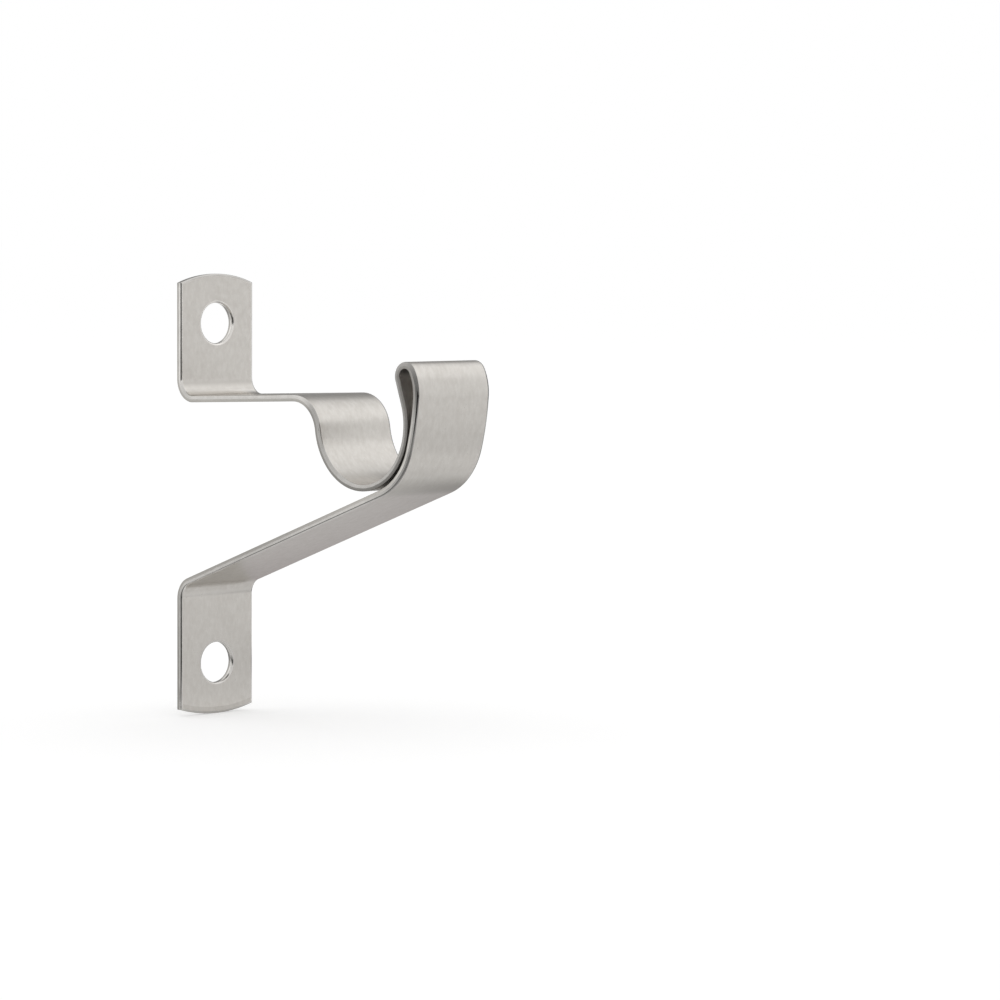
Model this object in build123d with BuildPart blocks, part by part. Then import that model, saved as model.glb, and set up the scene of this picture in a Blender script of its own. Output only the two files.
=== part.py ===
from build123d import *
import os
from math import acos, asin, atan2, cos, degrees, hypot, radians, sin, sqrt

# Curtain pole bracket, millimetres, +Z up. One strip of sheet steel is folded into two wall
# plates, an arm, an open saddle for the pole, a hollow lip, and a brace back to the wall.
# The wall is the plane X = 0 and the bracket stands out of it along +X.
# The origin lies on the wall, midway between the two screw holes.

# Strip
strip_width = 13.0
gauge = 0.9
edge_chamfer = 0.12

# Wall plates and their screw holes
hole_spacing = 47.0
hole_diameter = 5.6
hole_rim_round = 0.3
upper_hole_to_end = 6.8
upper_hole_to_bend = 7.6
lower_hole_to_end = 7.1
lower_hole_to_bend = 9.2
upper_end_radius = 18.0
lower_end_radius = 23.5
plate_bend_inside = 2.2

# Arm and pole saddle
arm_rise = 2.2
shoulder_inside = 4.25
pole_diameter = 16.0
pole_clearance = 0.05
pole_projection = 37.0
pole_height = 11.2

# Hollow lip: up from the saddle, over in a tight loop, and down behind the saddle
lip_lean = 19.2
lip_straight = 3.2
loop_inside = 1.0
brow_inside = 5.65
brow_turn = 34.0
back_inside = 32.5
back_clearance = 0.3

# Heel, where the strip turns below the saddle and leaves for the lower plate. It starts this
# many degrees after the back is nearest to the saddle, and is this much tighter than the
# saddle's outside.
heel_delay = 1.36
heel_tighter = 0.55

# Radii of the strip's middle line
half_gauge = gauge / 2
half_width = strip_width / 2
plate_bend_radius = plate_bend_inside + half_gauge
shoulder_radius = shoulder_inside + half_gauge
saddle_radius = pole_diameter / 2 + pole_clearance + half_gauge
loop_radius = loop_inside + half_gauge
brow_radius = brow_inside + half_gauge
back_radius = back_inside + half_gauge
heel_radius = saddle_radius + gauge - heel_tighter


def toward(heading):
    """Unit vector in the folding plane, for a heading in degrees above the +X axis."""
    return Vector(cos(radians(heading)), sin(radians(heading)))


def heading_of(vector):
    return degrees(atan2(vector.Y, vector.X))


def circles_meet(centre_a, radius_a, centre_b, radius_b):
    """Where two circles cross, to the right of the way from centre a to centre b."""
    across = centre_b - centre_a
    span = across.length
    opening = degrees(acos((span**2 + radius_a**2 - radius_b**2) / (2 * span * radius_a)))
    return centre_a + toward(heading_of(across) - opening) * radius_a


# The folding plane holds X and height. Its arcs are placed by their centres, and each
# heading below is the direction in which the strip runs on from the upper plate.

# Plates
upper_hole_height = hole_spacing / 2
lower_hole_height = -hole_spacing / 2
upper_end = upper_hole_height + upper_hole_to_end
lower_end = lower_hole_height - lower_hole_to_end
upper_bend = Vector(half_gauge + plate_bend_radius, upper_hole_height - upper_hole_to_bend)
lower_bend = Vector(half_gauge + plate_bend_radius, lower_hole_height + lower_hole_to_bend)

# The shoulder touches the arm's line on one side and the saddle's circle on the other
saddle = Vector(pole_projection, pole_height)
arm_start = upper_bend + toward(arm_rise - 90) * plate_bend_radius
arm_to_saddle = saddle - arm_start - toward(arm_rise - 90) * shoulder_radius
saddle_above_arm = arm_to_saddle.dot(toward(arm_rise + 90))
shoulder_reach = sqrt((shoulder_radius + saddle_radius) ** 2 - saddle_above_arm**2)
arm_length = arm_to_saddle.dot(toward(arm_rise)) - shoulder_reach
shoulder = arm_start + toward(arm_rise) * arm_length + toward(arm_rise - 90) * shoulder_radius
shoulder_exit = heading_of(saddle - shoulder) - 90

# The lip leans in over the pole, and the loop sits on its upper end
lip_heading = 90 + lip_lean
lip_foot = saddle + toward(lip_heading - 90) * saddle_radius
loop = lip_foot + toward(lip_heading) * lip_straight + toward(lip_heading - 90) * loop_radius

# The back passes the saddle at its clearance, and the brow blends the loop into the back
back_offset = back_inside - (saddle_radius + half_gauge + back_clearance)
brow_step = brow_radius - loop_radius
back_step = back_radius - brow_radius
step_along = brow_step + back_step * cos(radians(brow_turn))
step_aside = back_step * sin(radians(brow_turn))
back = circles_meet(loop, hypot(step_along, step_aside), saddle, back_offset)
loop_exit = heading_of(loop - back) + degrees(atan2(step_aside, step_along)) - 90
brow_exit = loop_exit - brow_turn
back_exit = heading_of(saddle - back) - 90 - heel_delay

# The brace is the straight line that touches both the heel and the lower bend
heel = back - toward(back_exit - 90) * (back_radius - heel_radius)
heel_to_bend = lower_bend - heel
brace_cross = degrees(asin((heel_radius + plate_bend_radius) / heel_to_bend.length))
brace_heading = heading_of(heel_to_bend) - brace_cross
brace_length = heel_to_bend.length * cos(radians(brace_cross))

# Heights of the corners where the plates' arched ends meet the strip's sides
upper_corner = upper_end - upper_end_radius + sqrt(upper_end_radius**2 - half_width**2)
lower_corner = lower_end + lower_end_radius - sqrt(lower_end_radius**2 - half_width**2)
beyond_lip = 2 * pole_projection

with BuildPart() as bracket:
    # Strip: the middle line, given its gauge and its width
    with BuildSketch(Plane.XZ):
        with BuildLine():
            upper_plate = Line((half_gauge, upper_end), (half_gauge, upper_bend.Y))
            turn_out = JernArc(upper_plate @ 1, upper_plate % 1, plate_bend_radius, 90 + arm_rise)
            arm = PolarLine(turn_out @ 1, arm_length, direction=turn_out % 1)
            over = JernArc(arm @ 1, arm % 1, shoulder_radius, shoulder_exit - arm_rise)
            cradle = JernArc(over @ 1, over % 1, saddle_radius, lip_heading - shoulder_exit)
            lip = PolarLine(cradle @ 1, lip_straight, direction=cradle % 1)
            hairpin = JernArc(lip @ 1, lip % 1, loop_radius, loop_exit - lip_heading)
            brow = JernArc(hairpin @ 1, hairpin % 1, brow_radius, -brow_turn)
            down = JernArc(brow @ 1, brow % 1, back_radius, back_exit - brow_exit)
            under = JernArc(down @ 1, down % 1, heel_radius, brace_heading - back_exit)
            brace = PolarLine(under @ 1, brace_length, direction=under % 1)
            turn_down = JernArc(brace @ 1, brace % 1, plate_bend_radius, -90 - brace_heading)
            Line(turn_down @ 1, (half_gauge, lower_end))
        trace(line_width=gauge)
    extrude(amount=half_width, both=True)

    # Front outline: the strip's width with both plates' ends arched
    with BuildSketch(Plane.YZ):
        with BuildLine():
            upper_arch = ThreePointArc(
                (-half_width, upper_corner), (0, upper_end), (half_width, upper_corner)
            )
            lower_arch = ThreePointArc(
                (-half_width, lower_corner), (0, lower_end), (half_width, lower_corner)
            )
            Line(upper_arch @ 0, lower_arch @ 0)
            Line(upper_arch @ 1, lower_arch @ 1)
        make_face()
    extrude(amount=beyond_lip, mode=Mode.INTERSECT)

    # Sheared edges: every edge around the strip's two sides and two ends is broken
    side_faces = bracket.faces().filter_by(Axis.Y)
    end_faces = [bracket.faces().sort_by(Axis.Z)[0], bracket.faces().sort_by(Axis.Z)[-1]]
    sheared_edges = ShapeList({edge for face in [*side_faces, *end_faces] for edge in face.edges()})
    chamfer(sheared_edges, length=edge_chamfer)

    # Screw holes, with the rolled-in rim that a punch leaves on the front
    with Locations(
        Plane((gauge, 0, upper_hole_height), z_dir=(1, 0, 0)),
        Plane((gauge, 0, lower_hole_height), z_dir=(1, 0, 0)),
    ):
        Hole(radius=hole_diameter / 2, depth=gauge)
    front_rims = bracket.edges(Select.LAST).filter_by(GeomType.CIRCLE).group_by(Axis.X)[-1]
    fillet(front_rims, radius=hole_rim_round)

bracket.part.label = "bracket"

os.makedirs("parts", exist_ok=True)
export_step(bracket.part, "parts/bracket.step")
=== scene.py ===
from cmath import phase, rect
from math import acos, asin, atan2, cos, degrees, hypot, pi, radians, sin, sqrt

import bpy
import numpy as np
from mathutils import Matrix, Vector


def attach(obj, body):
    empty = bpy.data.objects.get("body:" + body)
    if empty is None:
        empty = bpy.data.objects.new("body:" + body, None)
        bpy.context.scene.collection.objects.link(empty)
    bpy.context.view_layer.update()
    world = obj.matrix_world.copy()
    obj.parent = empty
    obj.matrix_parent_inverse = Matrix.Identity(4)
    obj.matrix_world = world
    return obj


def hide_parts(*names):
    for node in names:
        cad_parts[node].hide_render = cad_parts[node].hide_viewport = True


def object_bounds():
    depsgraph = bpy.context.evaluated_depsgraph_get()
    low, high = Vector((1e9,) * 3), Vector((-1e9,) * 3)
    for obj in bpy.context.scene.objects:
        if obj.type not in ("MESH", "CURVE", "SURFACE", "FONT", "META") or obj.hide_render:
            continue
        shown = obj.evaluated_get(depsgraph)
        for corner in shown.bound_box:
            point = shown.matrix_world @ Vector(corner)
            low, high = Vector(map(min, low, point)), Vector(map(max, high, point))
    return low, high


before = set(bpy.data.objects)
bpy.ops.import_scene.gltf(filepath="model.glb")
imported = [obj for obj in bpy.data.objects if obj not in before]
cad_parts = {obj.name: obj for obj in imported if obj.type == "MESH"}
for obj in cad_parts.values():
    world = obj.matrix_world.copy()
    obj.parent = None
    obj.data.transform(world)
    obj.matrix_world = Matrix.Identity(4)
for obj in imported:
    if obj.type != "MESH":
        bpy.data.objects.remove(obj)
cad_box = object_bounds()

# One folded strip of satin steel. Its flat blank is meshed first, in the place along the
# strip, the place across it and the height over its middle, and is then folded along the
# same middle line as the CAD solid. Sizes are in millimetres until the mesh is written.
MM = 0.001

# Sizes of the CAD solid
strip_width = 13.0
gauge = 0.9
hole_spacing = 47.0
hole_diameter = 5.6
upper_hole_to_end = 6.8
upper_hole_to_bend = 7.6
lower_hole_to_end = 7.1
lower_hole_to_bend = 9.2
upper_end_radius = 18.0
lower_end_radius = 23.5
plate_bend_inside = 2.2
arm_rise = 2.2
shoulder_inside = 4.25
pole_diameter = 16.0
pole_clearance = 0.05
pole_projection = 37.0
pole_height = 11.2
lip_lean = 19.2
lip_straight = 3.2
loop_inside = 1.0
brow_inside = 5.65
brow_turn = 34.0
back_inside = 32.5
back_clearance = 0.3
heel_delay = 1.36
heel_tighter = 0.55

half_gauge = gauge / 2
half_width = strip_width / 2
hole_radius = hole_diameter / 2
plate_bend_radius = plate_bend_inside + half_gauge
shoulder_radius = shoulder_inside + half_gauge
saddle_radius = pole_diameter / 2 + pole_clearance + half_gauge
loop_radius = loop_inside + half_gauge
brow_radius = brow_inside + half_gauge
back_radius = back_inside + half_gauge
heel_radius = saddle_radius + gauge - heel_tighter


# Middle line. A point of the folding plane is a complex number, X + Z * 1j.
def toward(heading):
    """Unit vector for a heading in degrees above the +X axis."""
    return rect(1, radians(heading))


def heading_of(way):
    return degrees(phase(way))


def circles_meet(centre_a, radius_a, centre_b, radius_b):
    """Where two circles cross, to the right of the way from centre a to centre b."""
    across = centre_b - centre_a
    span = abs(across)
    opening = degrees(acos((span**2 + radius_a**2 - radius_b**2) / (2 * span * radius_a)))
    return centre_a + toward(heading_of(across) - opening) * radius_a


upper_end = hole_spacing / 2 + upper_hole_to_end
lower_end = -hole_spacing / 2 - lower_hole_to_end
upper_bend = complex(half_gauge + plate_bend_radius, hole_spacing / 2 - upper_hole_to_bend)
lower_bend = complex(half_gauge + plate_bend_radius, lower_hole_to_bend - hole_spacing / 2)

saddle = complex(pole_projection, pole_height)
arm_start = upper_bend + toward(arm_rise - 90) * plate_bend_radius
arm_to_saddle = saddle - arm_start - toward(arm_rise - 90) * shoulder_radius
in_arm_frame = arm_to_saddle * toward(-arm_rise)
shoulder_reach = sqrt((shoulder_radius + saddle_radius) ** 2 - in_arm_frame.imag**2)
arm_length = in_arm_frame.real - shoulder_reach
shoulder = arm_start + toward(arm_rise) * arm_length + toward(arm_rise - 90) * shoulder_radius
shoulder_exit = heading_of(saddle - shoulder) - 90

lip_heading = 90 + lip_lean
lip_foot = saddle + toward(lip_heading - 90) * saddle_radius
loop = lip_foot + toward(lip_heading) * lip_straight + toward(lip_heading - 90) * loop_radius

back_offset = back_inside - (saddle_radius + half_gauge + back_clearance)
brow_step = brow_radius - loop_radius
back_step = back_radius - brow_radius
step_along = brow_step + back_step * cos(radians(brow_turn))
step_aside = back_step * sin(radians(brow_turn))
back = circles_meet(loop, hypot(step_along, step_aside), saddle, back_offset)
loop_exit = heading_of(loop - back) + degrees(atan2(step_aside, step_along)) - 90
brow_exit = loop_exit - brow_turn
back_exit = heading_of(saddle - back) - 90 - heel_delay

heel = back - toward(back_exit - 90) * (back_radius - heel_radius)
heel_to_bend = lower_bend - heel
brace_cross = degrees(asin((heel_radius + plate_bend_radius) / abs(heel_to_bend)))
brace_heading = heading_of(heel_to_bend) - brace_cross
brace_length = abs(heel_to_bend) * cos(radians(brace_cross))


def arc(radius, turn):
    """Length and turn of an arc of the middle line."""
    return radius * radians(abs(turn)), turn


# From the upper plate to the lower: each run's length, and its turn in degrees
runs = {
    "upper plate": (upper_end - upper_bend.imag, 0),
    "upper bend": arc(plate_bend_radius, 90 + arm_rise),
    "arm": (arm_length, 0),
    "shoulder": arc(shoulder_radius, shoulder_exit - arm_rise),
    "saddle": arc(saddle_radius, lip_heading - shoulder_exit),
    "lip": (lip_straight, 0),
    "loop": arc(loop_radius, loop_exit - lip_heading),
    "brow": arc(brow_radius, -brow_turn),
    "back": arc(back_radius, back_exit - brow_exit),
    "heel": arc(heel_radius, brace_heading - back_exit),
    "brace": (brace_length, 0),
    "lower bend": arc(plate_bend_radius, -90 - brace_heading),
    "lower plate": (lower_bend.imag - lower_end, 0),
}
run_starts = {}
run_place, run_point, run_heading = 0.0, complex(half_gauge, upper_end), -90.0
for run_name, (run_length, turn) in runs.items():
    run_starts[run_name] = (run_place, run_point, run_heading, run_length, turn)
    if turn:
        radius = run_length / radians(turn)
        run_point += radius * (toward(run_heading + turn - 90) - toward(run_heading - 90))
    else:
        run_point += run_length * toward(run_heading)
    run_place += run_length
    run_heading += turn
strip_length = run_place
place_tolerance = 1e-9


def place_on(run_name, share):
    """The place along the strip at a share of one of its runs."""
    start, _, _, run_length, _ = run_starts[run_name]
    return start + share * run_length


def fold(place):
    """X, Z and heading in radians of the middle line, for an array of places along it."""
    x, z, heading = (np.zeros_like(place) for _ in range(3))
    for start, point, first_heading, run_length, turn in run_starts.values():
        here = place >= start - place_tolerance
        gone = place[here] - start
        h0 = radians(first_heading)
        if turn:
            curvature = radians(turn) / run_length
            h = h0 + curvature * gone
            x[here] = point.real + (np.sin(h) - sin(h0)) / curvature
            z[here] = point.imag - (np.cos(h) - cos(h0)) / curvature
            heading[here] = h
        else:
            x[here] = point.real + gone * cos(h0)
            z[here] = point.imag + gone * sin(h0)
            heading[here] = h0
    return x, z, heading


# Blank. Rows follow each other along the strip, and columns across it. A square around each
# screw hole is filled with rings instead, which lie closer together at the hole.
columns = 36
ring_count = 9
ring_crowding = 1.25
square_half = 4.6
square_rows = 28
upper_end_offsets = [0, 0.3, 0.6]
lower_end_offsets = [0, 0.2, 0.34, 0.42, 0.5, 0.58, 0.66, 1.0]
upper_hole = upper_hole_to_end
lower_hole = strip_length - lower_hole_to_end
degrees_per_row = 2.0
straight_step = 2.5

# Material numbers of the mesh
FACE, EDGE = 0, 1


# Profiles from the front face over the edge to the back face, in pieces. A piece is a list of
# (inset from the outline, height, outward part of the normal, frontward part). The front
# corner is drawn in by the shear, then come the burnished zone, the broken zone and a burr.
def round_corner(inset, height, across, deep, steps, first, last):
    """A quarter of an ellipse around (inset, height), between two angles from the front."""
    points = []
    for i in range(steps + 1):
        angle = radians(first + (last - first) * i / steps)
        normal = Vector((sin(angle) / across, cos(angle) / deep)).normalized()
        points.append((inset - across * sin(angle), height + deep * cos(angle), *normal))
    return points


def sheared_profile(draw_across, draw_deep, burnish_end, break_inset, burr_round):
    """A profile from its corner's size, the height where the burnished zone ends, how far the
    broken zone leans in below it, and the burr's radius."""
    drawn = round_corner(
        draw_across, half_gauge - draw_deep, draw_across, draw_deep, steps=7, first=0, last=90
    )
    burr_top = burr_round - half_gauge
    slope = Vector((burnish_end - burr_top, -break_inset)).normalized()
    burnished = [(0, half_gauge - draw_deep, 1, 0), (0, burnish_end, 1, 0)]
    broken = [(0, burnish_end, *slope), (break_inset, burr_top, *slope)]
    burr = round_corner(
        break_inset + burr_round, burr_top, burr_round, burr_round, steps=3, first=90, last=180
    )
    return [drawn, burnished, broken, burr]


outline_profile = sheared_profile(0.3, 0.19, -0.04, 0.03, 0.05)
hole_profile = sheared_profile(0.3, 0.3, -0.12, 0.04, 0.04)


def inset_at(profile, front):
    """How far the front or the back face ends inside the outline."""
    return profile[0][0][0] if front else profile[-1][-1][0]


def upper_arch(across, inset):
    """The upper plate's end, as a place along the strip."""
    return upper_end_radius - np.sqrt((upper_end_radius - inset) ** 2 - across**2)


def lower_arch(across, inset):
    """The lower plate's end, as a place along the strip."""
    return strip_length - lower_end_radius + np.sqrt((lower_end_radius - inset) ** 2 - across**2)


def row_places():
    """Each row's place as a function of (across, inset), and the rows of the two squares."""
    rows = []
    square_start = upper_hole - square_half
    for offset in upper_end_offsets:
        rows.append(lambda a, e, o=offset: upper_arch(a, e) + o)
    first = upper_end_offsets[-1]
    for t in (0.5, 1.0):
        rows.append(
            lambda a, e, t=t: (upper_arch(a, e) + first) * (1 - t) + square_start * t
        )
    upper_rows = (len(rows) - 1, len(rows) - 1 + square_rows)
    fixed = [square_start + 2 * square_half * i / square_rows for i in range(1, square_rows + 1)]
    main_start, main_end = upper_hole + square_half, lower_hole - square_half
    for start, _, _, run_length, turn in run_starts.values():
        low, high = max(start, main_start), min(start + run_length, main_end)
        if high <= low:
            continue
        share = (high - low) / run_length
        steps = abs(turn) * share / degrees_per_row if turn else (high - low) / straight_step
        steps = max(1, round(steps))
        fixed += [low + (high - low) * i / steps for i in range(1, steps + 1)]
    for place in fixed:
        rows.append(lambda a, e, p=place: p + 0 * a)
    lower_rows = (len(rows) - 1, len(rows) - 1 + square_rows)
    for i in range(1, square_rows + 1):
        place = main_end + 2 * square_half * i / square_rows
        rows.append(lambda a, e, p=place: p + 0 * a)
    square_end = lower_hole + square_half
    last = lower_end_offsets[-1]
    rows.append(lambda a, e: 0.5 * square_end + 0.5 * (lower_arch(a, e) - last))
    for offset in reversed(lower_end_offsets):
        rows.append(lambda a, e, o=offset: lower_arch(a, e) - o)
    return rows, [(upper_rows, upper_hole), (lower_rows, lower_hole)]


rows, squares = row_places()
row_count = len(rows)

# A faint press mark runs parallel to the lower plate's arched end
mark_offset = 0.8
mark_half_width = 0.16
mark_depth = 0.012


def relief(place, across):
    """How far the front face stands off its plane, and the slope along the strip."""
    from_end = lower_arch(across, 0) - place
    t = (from_end - mark_offset) / mark_half_width
    if abs(t) >= 1:
        return 0.0, 0.0
    return (
        -mark_depth * 0.5 * (1 + cos(pi * t)),
        -mark_depth * 0.5 * pi / mark_half_width * sin(pi * t),
    )


vertices, polygons, corner_normals, corner_uvs, polygon_materials = [], [], [], [], []
back_face_uv_shift = 2.5 * strip_width


def add_vertex(place, across, height):
    vertices.append((place, across, height))
    return len(vertices) - 1


def add_polygon(corners, material):
    """corners are (vertex, normal in the blank, uv)."""
    polygons.append([c[0] for c in corners])
    corner_normals.extend(c[1] for c in corners)
    corner_uvs.extend(c[2] for c in corners)
    polygon_materials.append(material)


def face_corner(vertex, front):
    place, across, _ = vertices[vertex]
    if front:
        slope = relief(place, across)[1]
        return vertex, tuple(Vector((-slope, 0, 1)).normalized()), (place, across)
    return vertex, (0, 0, -1), (place, back_face_uv_shift + across)


def make_face(front):
    """The grid of one face. Returns its rows of vertices and its ring at each hole."""
    inset = inset_at(outline_profile, front)
    hole_inset = inset_at(hole_profile, front)
    height = half_gauge if front else -half_gauge
    span = half_width - inset
    in_square = {r for (low, high), _ in squares for r in range(low + 1, high)}
    grid = []
    for r, place_of in enumerate(rows):
        line = []
        for c in range(columns + 1):
            if r in in_square and 0 < c < columns:
                line.append(None)
                continue
            across = span * (2 * c / columns - 1)
            place = float(place_of(across, inset))
            lift = relief(place, across)[0] if front else 0
            line.append(add_vertex(place, across, height + lift))
        grid.append(line)

    def quad(a, b, c, d):
        ring = (a, b, c, d) if front else (d, c, b, a)
        add_polygon([face_corner(v, front) for v in ring], FACE)

    for r in range(row_count - 1):
        if any(low <= r < high for (low, high), _ in squares):
            continue
        for c in range(columns):
            quad(grid[r][c], grid[r + 1][c], grid[r + 1][c + 1], grid[r][c + 1])

    hole_rings = []
    for (low, high), centre in squares:
        outer = [grid[r][0] for r in range(low, high)]
        outer += [grid[high][c] for c in range(columns)]
        outer += [grid[r][columns] for r in range(high, low, -1)]
        outer += [grid[low][c] for c in range(columns, 0, -1)]
        rings = []
        for i in range(ring_count):
            t = (i / ring_count) ** ring_crowding
            ring = []
            for v in outer:
                place, across, _ = vertices[v]
                way = complex(place - centre, across)
                at = way / abs(way) * (hole_radius + hole_inset) * (1 - t) + way * t
                ring.append(add_vertex(centre + at.real, at.imag, height))
            rings.append(ring)
        rings.append(outer)
        for inner, outside in zip(rings, rings[1:]):
            for k in range(len(outer)):
                n = (k + 1) % len(outer)
                quad(inner[k], outside[k], outside[n], inner[n])
        hole_rings.append(rings[0])
    return grid, hole_rings


front_grid, front_holes = make_face(True)
back_grid, back_holes = make_face(False)


def sweep_edge(front_ring, back_ring, profile, place_of, outward_of):
    """The surface between two rings. place_of(k, inset) is point k of the outline moved in,
    and outward_of(k, segment) the outward direction at it, as seen from one of its segments."""
    count = len(front_ring)
    travelled = 0.0
    above = front_ring
    for number, points in enumerate(profile):
        uv_inset = points[0][0] if number == 0 else 0
        for i in range(len(points) - 1):
            a, b = points[i], points[i + 1]
            step = hypot(b[0] - a[0], b[1] - a[1])
            is_last = number == len(profile) - 1 and i == len(points) - 2
            if is_last:
                below = back_ring
            else:
                below = [add_vertex(*place_of(k, b[0]), b[1]) for k in range(count)]
            for k in range(count):
                n = (k + 1) % count
                corners = []
                for ring, at, point, way in (
                    (above, k, a, travelled),
                    (below, k, b, travelled + step),
                    (below, n, b, travelled + step),
                    (above, n, a, travelled),
                ):
                    out = outward_of(at, k)
                    normal = (out[0] * point[2], out[1] * point[2], point[3])
                    base = place_of(at, uv_inset)
                    uv = (base[0] + out[0] * way, base[1] + out[1] * way)
                    corners.append((ring[at], normal, uv))
                add_polygon(corners, EDGE)
            above = below
            travelled += step


# Rows and columns of the outline's points, counter-clockwise seen from the front
loop_ids = [(r, 0) for r in range(row_count - 1)]
loop_ids += [(row_count - 1, c) for c in range(columns)]
loop_ids += [(r, columns) for r in range(row_count - 1, 0, -1)]
loop_ids += [(0, c) for c in range(columns, 0, -1)]
front_outline = [front_grid[r][c] for r, c in loop_ids]
back_outline = [back_grid[r][c] for r, c in loop_ids]


def outline_place(k, inset):
    r, c = loop_ids[k]
    across = (half_width - inset) * (2 * c / columns - 1)
    return float(rows[r](across, inset)), across


def outline_outward(k, segment):
    """The outward direction at outline point k, for the run of the outline that segment is on."""
    (r0, c0), (_, c1) = loop_ids[segment], loop_ids[(segment + 1) % len(loop_ids)]
    if c0 == c1:
        return 0.0, -1.0 if c0 == 0 else 1.0
    across = half_width * (2 * loop_ids[k][1] / columns - 1)
    if r0 == 0:
        sine = across / upper_end_radius
        return -sqrt(1 - sine**2), sine
    sine = across / lower_end_radius
    return sqrt(1 - sine**2), sine


sweep_edge(front_outline, back_outline, outline_profile, outline_place, outline_outward)

for (_, centre), front_ring, back_ring in zip(squares, front_holes, back_holes):
    front_ring, back_ring = front_ring[::-1], back_ring[::-1]
    ways = []
    for v in front_ring:
        way = complex(vertices[v][0] - centre, vertices[v][1])
        ways.append(way / abs(way))

    def hole_place(k, inset):
        at = ways[k] * (hole_radius + inset)
        return centre + at.real, at.imag

    def hole_outward(k, segment):
        return -ways[k].real, -ways[k].imag

    sweep_edge(front_ring, back_ring, hole_profile, hole_place, hole_outward)


# Folding
uv_per_metre = 10
blank = np.array(vertices)
x, z, heading = fold(blank[:, 0])
folded = np.stack(
    [x - np.sin(heading) * blank[:, 2], blank[:, 1], z + np.cos(heading) * blank[:, 2]], 1
)
at_corner = heading[[v for polygon in polygons for v in polygon]]
flat_normals = np.array(corner_normals)
normals = np.stack(
    [
        np.cos(at_corner) * flat_normals[:, 0] - np.sin(at_corner) * flat_normals[:, 2],
        flat_normals[:, 1],
        np.sin(at_corner) * flat_normals[:, 0] + np.cos(at_corner) * flat_normals[:, 2],
    ],
    1,
)

mesh = bpy.data.meshes.new("folded_strip")
mesh.from_pydata((folded * MM).tolist(), [], polygons)
mesh.polygons.foreach_set("use_smooth", [True] * len(polygons))
mesh.polygons.foreach_set("material_index", polygon_materials)
uv_layer = mesh.uv_layers.new(name="unfolded")
uvs = np.array(corner_uvs) * MM * uv_per_metre
uv_layer.uv.foreach_set("vector", uvs.astype(np.float32).ravel())
place_attribute = mesh.attributes.new("strip_place", "FLOAT_VECTOR", "POINT")
place_attribute.data.foreach_set("vector", (blank * MM).astype(np.float32).ravel())
mesh.update()
mesh.normals_split_custom_set(normals.tolist())
strip = bpy.data.objects.new("folded_strip", mesh)
bpy.context.scene.collection.objects.link(strip)


# Materials. A colour ramp node holds no more stops than this.
most_ramp_stops = 32
quarter_turn = 0.25
mark_bump = 0.01 * MM


class Nodes:
    """Short ways to add nodes to a node tree."""

    def __init__(self, tree):
        self.tree = tree

    def add(self, kind, **settings):
        node = self.tree.nodes.new(kind)
        for name, value in settings.items():
            setattr(node, name, value)
        return node

    def feed(self, socket, value):
        """Gives an input another node's output, or else a value of its own."""
        if isinstance(value, bpy.types.NodeSocket):
            self.tree.links.new(value, socket)
        else:
            socket.default_value = value

    def set(self, node, **inputs):
        for name, value in inputs.items():
            self.feed(node.inputs[name.replace("_", " ")], value)
        return node

    def apart(self, vector):
        """The three parts of a vector."""
        return tuple(self.set(self.add("ShaderNodeSeparateXYZ"), Vector=vector).outputs)

    def math(self, operation, a, b=0.0):
        node = self.add("ShaderNodeMath", operation=operation)
        for socket, value in zip(node.inputs, (a, b)):
            self.feed(socket, value)
        return node.outputs[0]

    def noise(self, vector, scale, detail, roughness=0.5):
        """Noise with its own scale along, across and through the strip."""
        mapping = self.add("ShaderNodeMapping")
        self.set(mapping, Vector=vector, Scale=scale)
        texture = self.add("ShaderNodeTexNoise")
        self.set(texture, Vector=mapping.outputs[0], Scale=1.0, Detail=detail, Roughness=roughness)
        return texture.outputs["Fac"]

    def spread(self, value, low, high, to_low, to_high):
        """A value moved from one range to another, and held inside it."""
        node = self.add("ShaderNodeMapRange")
        self.set(
            node, Value=value, From_Min=low, From_Max=high, To_Min=to_low, To_Max=to_high
        )
        return node.outputs[0]

    def along(self, value, levels):
        """A grey by the share of the strip's length. levels are (run, share of it, level)."""
        assert len(levels) <= most_ramp_stops
        stops = [(place_on(run, share) / strip_length, level) for run, share, level in levels]
        node = self.add("ShaderNodeValToRGB")
        elements = node.color_ramp.elements
        for place, _ in stops[1:-1]:
            elements.new(place)
        for element, (place, level) in zip(elements, stops):
            element.position = place
            element.color = grey(level)
        self.feed(node.inputs[0], value)
        return node.outputs[0]

    def mix(self, factor, a, b, blend="MIX"):
        """Colour a, passing to colour b as the factor goes from 0 to 1."""
        node = self.add("ShaderNodeMix", data_type="RGBA", blend_type=blend)
        for number, value in zip((0, 6, 7), (factor, a, b)):
            self.feed(node.inputs[number], value)
        return node.outputs[2]


def grey(value):
    return (value, value, value, 1)


def steel(name, anisotropy, build):
    """Bare metal. build gives its colour, roughness and normal for a place on the strip."""
    material = bpy.data.materials.new(name)
    material.use_nodes = True
    n = Nodes(material.node_tree)
    shader = material.node_tree.nodes["Principled BSDF"]
    n.set(shader, Metallic=1.0, Anisotropic=anisotropy, Anisotropic_Rotation=quarter_turn)
    tangent = n.add("ShaderNodeTangent", direction_type="UV_MAP", uv_map="unfolded").outputs[0]
    place = n.add("ShaderNodeAttribute", attribute_name="strip_place").outputs["Vector"]
    colour, roughness, normal = build(n, place)
    n.set(shader, Base_Color=colour, Roughness=roughness, Normal=normal, Tangent=tangent)
    return material


# Tones of the two faces
mark_dark, mark_light = (0.572, 0.549, 0.516, 1), (0.638, 0.616, 0.584, 1)
mottle_tone = (0.555, 0.531, 0.497, 1)
patch_tone = (0.64, 0.618, 0.586, 1)
# Dark tone of the press mark's line and of a painted shade band
press_mark_and_shade_tone = (0.4, 0.379, 0.35, 1)
lip_tone = (0.725, 0.7, 0.67, 1)

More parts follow.
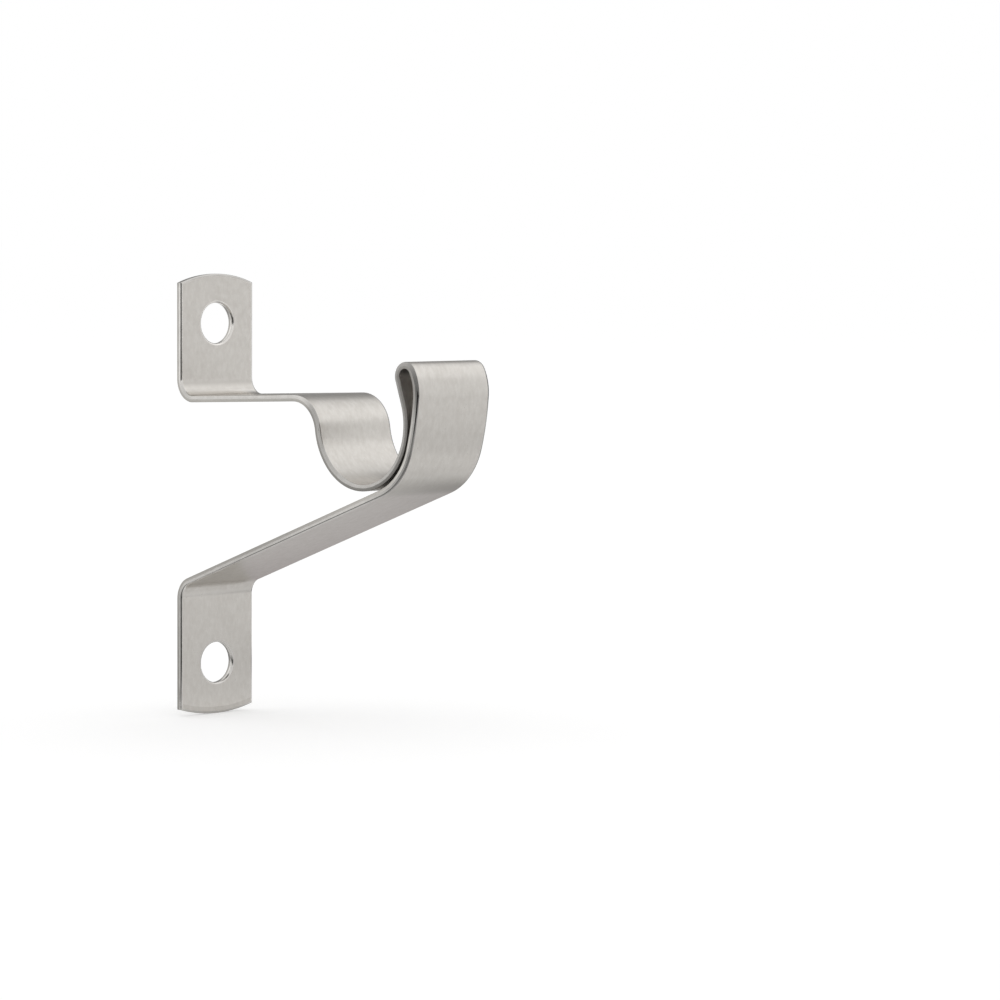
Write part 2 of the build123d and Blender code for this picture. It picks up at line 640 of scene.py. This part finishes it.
# Tones of the sheared sides
burnished_dark, burnished_light = (0.67, 0.65, 0.62, 1), (0.73, 0.71, 0.68, 1)
broken_dark, broken_light = (0.55, 0.53, 0.495, 1), (0.65, 0.63, 0.595, 1)
deep_tone = (0.53, 0.51, 0.475, 1)

# Bands across the strip, darker or brighter than the rest: painted shade and painted
# highlights where the upper bend, the heel and the lower bend mirror light. Columns: place
# along it, half the width at full strength, half the width in all, strength, tone
painted_light_bands = [
    (place_on("upper bend", 0.215), 0.15, 0.8, 0.8, (0.5, 0.48, 0.45, 1)),
    (place_on("upper bend", 0.64), 0.3, 0.8, 0.8, (0.76, 0.735, 0.7, 1)),
    (place_on("heel", 0.775), 0.5, 2.6, 0.45, press_mark_and_shade_tone),
    (place_on("lower bend", 0.81), 0.1, 0.7, 0.5, (0.72, 0.697, 0.664, 1)),
]

# The hollow lip's inside is brighter, for the mirror bounces there that a render leaves out
lip_middle = place_on("brow", 0)
lip_bright_half, lip_bright_reach = 8, 10


def satin(n, place):
    """Short rolling and brush marks along the strip, over the mottling that handling leaves."""
    along, across, height = n.apart(place)
    fine = n.noise(place, (2200, 5200, 5200), 3, 0.6)
    hair = n.noise(place, (700, 9000, 9000), 3, 0.6)
    mottle = n.noise(place, (950, 1600, 1600), 4, 0.7)
    patch = n.noise(place, (150, 210, 210), 3, 0.6)
    marks = n.math("ADD", n.math("MULTIPLY", fine, 0.55), n.math("MULTIPLY", hair, 0.45))
    colour = n.mix(n.spread(marks, 0.35, 0.65, 0, 1), mark_dark, mark_light)
    colour = n.mix(n.spread(mottle, 0.38, 0.64, 0, 1), colour, mottle_tone)
    colour = n.mix(n.spread(patch, 0.4, 0.7, 0, 0.2), colour, patch_tone)
    # Painted shade and painted highlights in bands across the bends
    for middle, full, reach, strength, tone in painted_light_bands:
        from_middle = n.math("ABSOLUTE", n.math("SUBTRACT", along, middle * MM))
        colour = n.mix(n.spread(from_middle, full * MM, reach * MM, strength, 0), colour, tone)

    # The press mark near the lower plate's arched end, its line darkened as painted shade
    # for its shallow groove, and a darker tone beyond it, to the plate's end
    chord = n.math("SUBTRACT", (lower_end_radius * MM) ** 2, n.math("POWER", across, 2))
    arch = n.math("ADD", n.math("SQRT", chord), (strip_length - lower_end_radius) * MM)
    from_tool = n.math("SUBTRACT", n.math("SUBTRACT", arch, along), mark_offset * MM)
    tool = n.spread(n.math("ABSOLUTE", from_tool), 0.02 * MM, mark_half_width * MM, 0.4, 0)
    beyond = n.spread(from_tool, -0.1 * MM, 0.05 * MM, 0.35, 0)
    colour = n.mix(n.math("MAXIMUM", tool, beyond), colour, press_mark_and_shade_tone)

    from_lip = n.math("ABSOLUTE", n.math("SUBTRACT", along, lip_middle * MM))
    inside = n.math(
        "MULTIPLY",
        n.spread(from_lip, lip_bright_half * MM, lip_bright_reach * MM, 1, 0),
        n.spread(height, -0.4 * MM, 0, 1, 0),
    )
    colour = n.mix(inside, colour, lip_tone)
    roughness = n.math(
        "ADD", n.spread(marks, 0.3, 0.7, 0.27, 0.35), n.spread(mottle, 0.3, 0.7, -0.02, 0.04)
    )
    bump = n.add("ShaderNodeBump")
    n.set(bump, Strength=0.3, Distance=mark_bump, Height=marks)
    return colour, roughness, bump.outputs[0]


# How bright the sheared sides' burnished and broken zones are along the strip: levels that
# multiply their tones, as (run, share of it, level). They were worked out from how
# much brighter or darker the photograph is than a render was at places along the near side,
# and stand for wear from folding and for reflections that the cards don't give.
burnished_levels = [
    ("upper plate", 0, 0.7),
    ("upper plate", 0.07, 0.7),
    ("upper plate", 0.12, 1.0),
    ("upper bend", 0, 1.0),
    ("upper bend", 0.3, 0.8),
    ("upper bend", 0.6, 0.72),
    ("arm", 0, 0.84),
    ("shoulder", 0, 0.84),
    ("shoulder", 0.35, 0.86),
    ("shoulder", 0.6, 0.52),
    ("saddle", 0.1, 0.59),
    ("saddle", 0.35, 0.71),
    ("saddle", 0.6, 0.65),
    ("saddle", 0.85, 0.5),
    ("lip", 0.25, 0.41),
    ("loop", 0.1, 0.47),
    ("loop", 0.6, 0.59),
    ("brow", 0.25, 0.24),
    ("brow", 0.75, 0.2),
    ("back", 0.1, 0.32),
    ("back", 0.35, 0.55),
    ("back", 0.9, 0.52),
    ("heel", 0.1, 0.38),
    ("heel", 0.35, 0.42),
    ("heel", 0.85, 0.6),
    ("brace", 0.1, 0.84),
    ("brace", 0.6, 0.78),
    ("lower bend", 0.25, 1.0),
    ("lower bend", 0.8, 0.78),
    ("lower plate", 0.9, 0.9),
    ("lower plate", 0.96, 0.62),
    ("lower plate", 1, 0.62),
]
broken_levels = [
    ("upper plate", 0, 0.52),
    ("upper plate", 0.07, 0.52),
    ("upper plate", 0.12, 0.75),
    ("upper plate", 0.85, 0.78),
    ("upper bend", 0.1, 0.86),
    ("upper bend", 0.5, 0.82),
    ("arm", 0.1, 0.96),
    ("arm", 0.4, 0.91),
    ("shoulder", 0.1, 0.9),
    ("shoulder", 0.35, 0.88),
    ("shoulder", 0.6, 0.57),
    ("saddle", 0.35, 0.56),
    ("saddle", 0.85, 0.45),
    ("lip", 0.5, 0.4),
    ("loop", 0.1, 0.48),
    ("loop", 0.5, 0.66),
    ("loop", 0.85, 0.59),
    ("brow", 0.5, 0.6),
    ("back", 0.1, 0.65),
    ("back", 0.6, 1.0),
    ("back", 0.9, 1.1),
    ("heel", 0.1, 0.95),
    ("heel", 0.35, 1.2),
    ("heel", 0.6, 0.95),
    ("brace", 0.3, 0.79),
    ("brace", 0.6, 0.65),
    ("lower bend", 0, 0.72),
    ("lower plate", 0, 0.74),
    ("lower plate", 0.3, 0.64),
    ("lower plate", 0.9, 0.65),
    ("lower plate", 0.96, 0.44),
    ("lower plate", 1, 0.44),
]


def sheared(n, place):
    """The strip's sheared sides: a burnished zone and a duller, grainy broken zone."""
    along, _, height = n.apart(place)
    wander = n.math("MULTIPLY", n.noise(place, (600, 100, 100), 3), 0.16 * MM)
    height = n.math("ADD", height, wander)
    broken = n.spread(height, 0.01 * MM, 0.07 * MM, 1, 0)
    deep = n.spread(height, -0.02 * MM, -0.34 * MM, 0, 1)
    grain = n.noise(place, (3000, 5200, 5200), 3, 0.6)
    streak = n.noise(place, (900, 500, 500), 2)
    bright = n.mix(n.spread(streak, 0.35, 0.65, 0, 1), burnished_dark, burnished_light)
    dull = n.mix(n.spread(grain, 0.3, 0.7, 0, 1), broken_dark, broken_light)
    dull = n.mix(deep, dull, deep_tone)
    share = n.math("MULTIPLY", along, 1 / (strip_length * MM))
    # Levels along the strip multiply in wear and painted reflections
    bright = n.mix(1.0, bright, n.along(share, burnished_levels), "MULTIPLY")
    dull = n.mix(1.0, dull, n.along(share, broken_levels), "MULTIPLY")
    colour = n.mix(broken, bright, dull)
    roughness = n.math(
        "ADD", n.spread(broken, 0, 1, 0.14, 0.34), n.spread(grain, 0.3, 0.7, -0.02, 0.03)
    )
    bump = n.add("ShaderNodeBump")
    n.set(bump, Strength=0.15, Distance=mark_bump, Height=n.math("MULTIPLY", grain, broken))
    return colour, roughness, bump.outputs[0]


mesh.materials.append(steel("satin_steel", anisotropy=0.5, build=satin))
mesh.materials.append(steel("sheared_steel", anisotropy=0.1, build=sheared))

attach(strip, "root")
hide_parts("bracket")

# Camera, fitted to the photograph in this frame
camera_azimuth = 45.19
camera_elevation = 3.771
camera_roll = 0.279
camera_distance = 548.3
camera_aside = 39.76
camera_lower = 1.002
sensor = 36.0
focal_in_frame_widths = 3.95873

azimuth, elevation = radians(camera_azimuth), radians(camera_elevation)
right = Vector((cos(azimuth), sin(azimuth), 0))
back_axis = Vector(
    (sin(azimuth) * cos(elevation), -cos(azimuth) * cos(elevation), sin(elevation))
)
up = back_axis.cross(right)
roll = radians(camera_roll)
right_rolled = right * cos(roll) + up * sin(roll)
up_rolled = up * cos(roll) - right * sin(roll)
camera_data = bpy.data.cameras.new("camera")
camera_data.sensor_width = sensor
camera_data.lens = sensor * focal_in_frame_widths
camera = bpy.data.objects.new("camera", camera_data)
axes = Matrix((right_rolled, up_rolled, back_axis)).transposed()
camera.matrix_world = axes.to_4x4()
camera.location = MM * (
    right_rolled * camera_aside - up_rolled * camera_lower + back_axis * camera_distance
)
bpy.context.scene.collection.objects.link(camera)
bpy.context.scene.camera = camera
bpy.context.scene.view_settings.view_transform = "Standard"


# Studio: a pale floor, soft lamps, and grey cards that the metal mirrors, as in a light tent
def background_rays(n):
    """1 for the rays that show the background as it is: seen, mirrored or looked through."""
    path = n.add("ShaderNodeLightPath").outputs
    seen = n.math("MAXIMUM", path["Is Camera Ray"], path["Is Glossy Ray"])
    return n.math("MAXIMUM", seen, path["Is Transmission Ray"])


# The white world's strength where it is seen or mirrored, and as a light
world_seen, world_lighting = 1.0, 0.8
world = bpy.data.worlds.new("world")
world.use_nodes = True
bpy.context.scene.world = world
world_nodes = Nodes(world.node_tree)
world_nodes.set(
    world.node_tree.nodes["Background"],
    Color=grey(1),
    Strength=world_nodes.spread(background_rays(world_nodes), 0, 1, world_lighting, world_seen),
)


def stage_plane(name, size_x, size_y, location, facing):
    """A flat rectangle whose normal is along facing, with its long way level."""
    plane = bpy.data.meshes.new(name)
    hx, hy = size_x / 2, size_y / 2
    corners = [(-hx, -hy, 0), (hx, -hy, 0), (hx, hy, 0), (-hx, hy, 0)]
    plane.from_pydata(corners, [], [(0, 1, 2, 3)])
    layer = plane.uv_layers.new(name="card")
    layer.uv.foreach_set("vector", [0, 0, 1, 0, 1, 1, 0, 1])
    made = bpy.data.objects.new(name, plane)
    turn = Vector(facing).to_track_quat("Z", "Y").to_matrix().to_4x4()
    made.matrix_world = Matrix.Translation(location) @ turn
    bpy.context.scene.collection.objects.link(made)
    return made


floor_size = 40
floor_height = cad_box[0][2] - 0.02 * MM
floor_glow = 0.36
layer_step = 0.3 * MM
floor = stage_plane("floor", floor_size, floor_size, (0, 0, floor_height), (0, 0, 1))
floor_material = bpy.data.materials.new("floor")
floor_material.use_nodes = True
floor_nodes = Nodes(floor_material.node_tree)
floor_nodes.set(
    floor_material.node_tree.nodes["Principled BSDF"],
    Base_Color=grey(0.8),
    Roughness=0.9,
    Specular_IOR_Level=0.0,
    Emission_Color=grey(1),
    Emission_Strength=floor_nodes.spread(background_rays(floor_nodes), 0, 1, 0, floor_glow),
)
floor.data.materials.append(floor_material)


def card(name, location, facing, width, height, brightness, fade=0.5, tint=(1, 1, 1)):
    """A soft-edged card that only mirrors show. fade is the share of its size that is edge."""
    made = stage_plane(name, width, height, location, facing)
    material = bpy.data.materials.new(name)
    material.use_nodes = True
    n = Nodes(material.node_tree)
    tree = material.node_tree
    tree.nodes.remove(tree.nodes["Principled BSDF"])
    uv = n.add("ShaderNodeUVMap", uv_map="card").outputs[0]
    aside = [n.math("ABSOLUTE", n.math("SUBTRACT", part, 0.5)) for part in n.apart(uv)[:2]]
    fades = [n.spread(part, 0.5 - fade / 2, 0.5, 1, 0) for part in aside]
    solid = n.math("MULTIPLY", *fades)
    glow = n.set(n.add("ShaderNodeEmission"), Color=(*tint, 1), Strength=brightness)
    clear = n.add("ShaderNodeBsdfTransparent")
    both = n.add("ShaderNodeMixShader")
    for socket, value in zip(both.inputs, (solid, clear.outputs[0], glow.outputs[0])):
        n.feed(socket, value)
    n.set(tree.nodes["Material Output"], Surface=both.outputs[0])
    made.data.materials.append(material)
    made.visible_camera = False
    made.visible_diffuse = False
    made.visible_shadow = False
    made.visible_transmission = False
    made.visible_volume_scatter = False
    return made


def sky(azimuth, elevation):
    """The direction at an azimuth from +X and an elevation, both in degrees."""
    level = cos(radians(elevation))
    return (
        level * cos(radians(azimuth)), level * sin(radians(azimuth)), sin(radians(elevation))
    )


def standing_card(name, azimuth, elevation, distance, width, height, brightness, fade=0.5):
    """A card at a distance from the origin, facing it."""
    way = Vector(sky(azimuth, elevation))
    return card(name, way * distance, -way, width, height, brightness, fade)


def lying_card(name, place, azimuth, width, depth, brightness, layer, fade=0.5, tint=(1, 1, 1)):
    """A card on the floor, its depth along an azimuth. Layers lie on each other."""
    height = floor_height + layer_step * layer
    made = card(name, (0, 0, 0), (0, 0, 1), width, depth, brightness, fade, tint)
    turn = Matrix.Rotation(radians(azimuth + 90), 4, "Z")
    made.matrix_world = Matrix.Translation((*place, height)) @ turn
    return made


standing_card("card_front", -50, -4, 1.2, 3.4, 0.5, 0.1, 0.4)
lying_card("card_front_far", (0.45, -0.536), -50, 3.2, 1.1, 0.1, 1, 0.1)
lying_card("card_front_near", (0.11, -0.085), -78, 0.3, 0.2, 0.05, 2, 0.1)
standing_card("card_behind", 123, 19, 1.2, 1.95, 1.5, 0.27)
standing_card("card_side", 98, 3, 1.25, 0.95, 0.6, 0.28)
lying_card("card_side_far", (-0.22, 0.66), 108, 1.0, 1.0, 0.3, 1)
lying_card("card_brace", (-0.012, 0.046), 115, 0.09, 0.074, 0.38, 4, 0.5, (1.06, 0.97, 0.99))
lying_card("card_left_near", (-0.128, -0.09), 165, 0.26, 0.2, 0.68, 3, 0.15)
lying_card("card_far", (0.2, 0.18), 45, 0.3, 0.46, 0.93, 4, 0.4)
lying_card("card_hook", (0.108, 0.072), 45, 0.09, 0.09, 0.74, 6, 0.8)
lying_card("card_low", (0.03, 0.027), 45, 0.09, 0.13, 0.8, 5, 0.7)
lying_card("card_upper_hole", (-0.076, 0.0), 0, 0.09, 0.05, 0.4, 8, 0.5)
lying_card("card_lower_hole", (-0.016, 0.002), 0, 0.036, 0.02, 0.4, 9, 0.5)
lying_card("card_heel", (0.024, 0.043), 90, 0.04, 0.034, 0.36, 7, 0.6)
card("card_heel_corner", (0.06, -0.024, -0.005), (0, 0, 1), 0.052, 0.042, 0.55, 0.4)


def lamp(name, location, size_x, size_y, brightness):
    """A soft box aimed at the bracket. brightness is what a mirror would show of it."""
    data = bpy.data.lights.new(name, "AREA")
    data.shape = "RECTANGLE"
    data.size, data.size_y = size_x, size_y
    data.energy = brightness * pi * size_x * size_y
    made = bpy.data.objects.new(name, data)
    made.location = location
    made.rotation_euler = Vector(location).to_track_quat("Z", "Y").to_euler()
    bpy.context.scene.collection.objects.link(made)
    return made


lamp_distance = 1.15
lamp("lamp_top", Vector(sky(72, 42)) * lamp_distance, 1.3, 0.65, 0.28)
lamp("lamp_left", Vector(sky(215, 30)) * lamp_distance, 0.6, 0.6, 0.2)
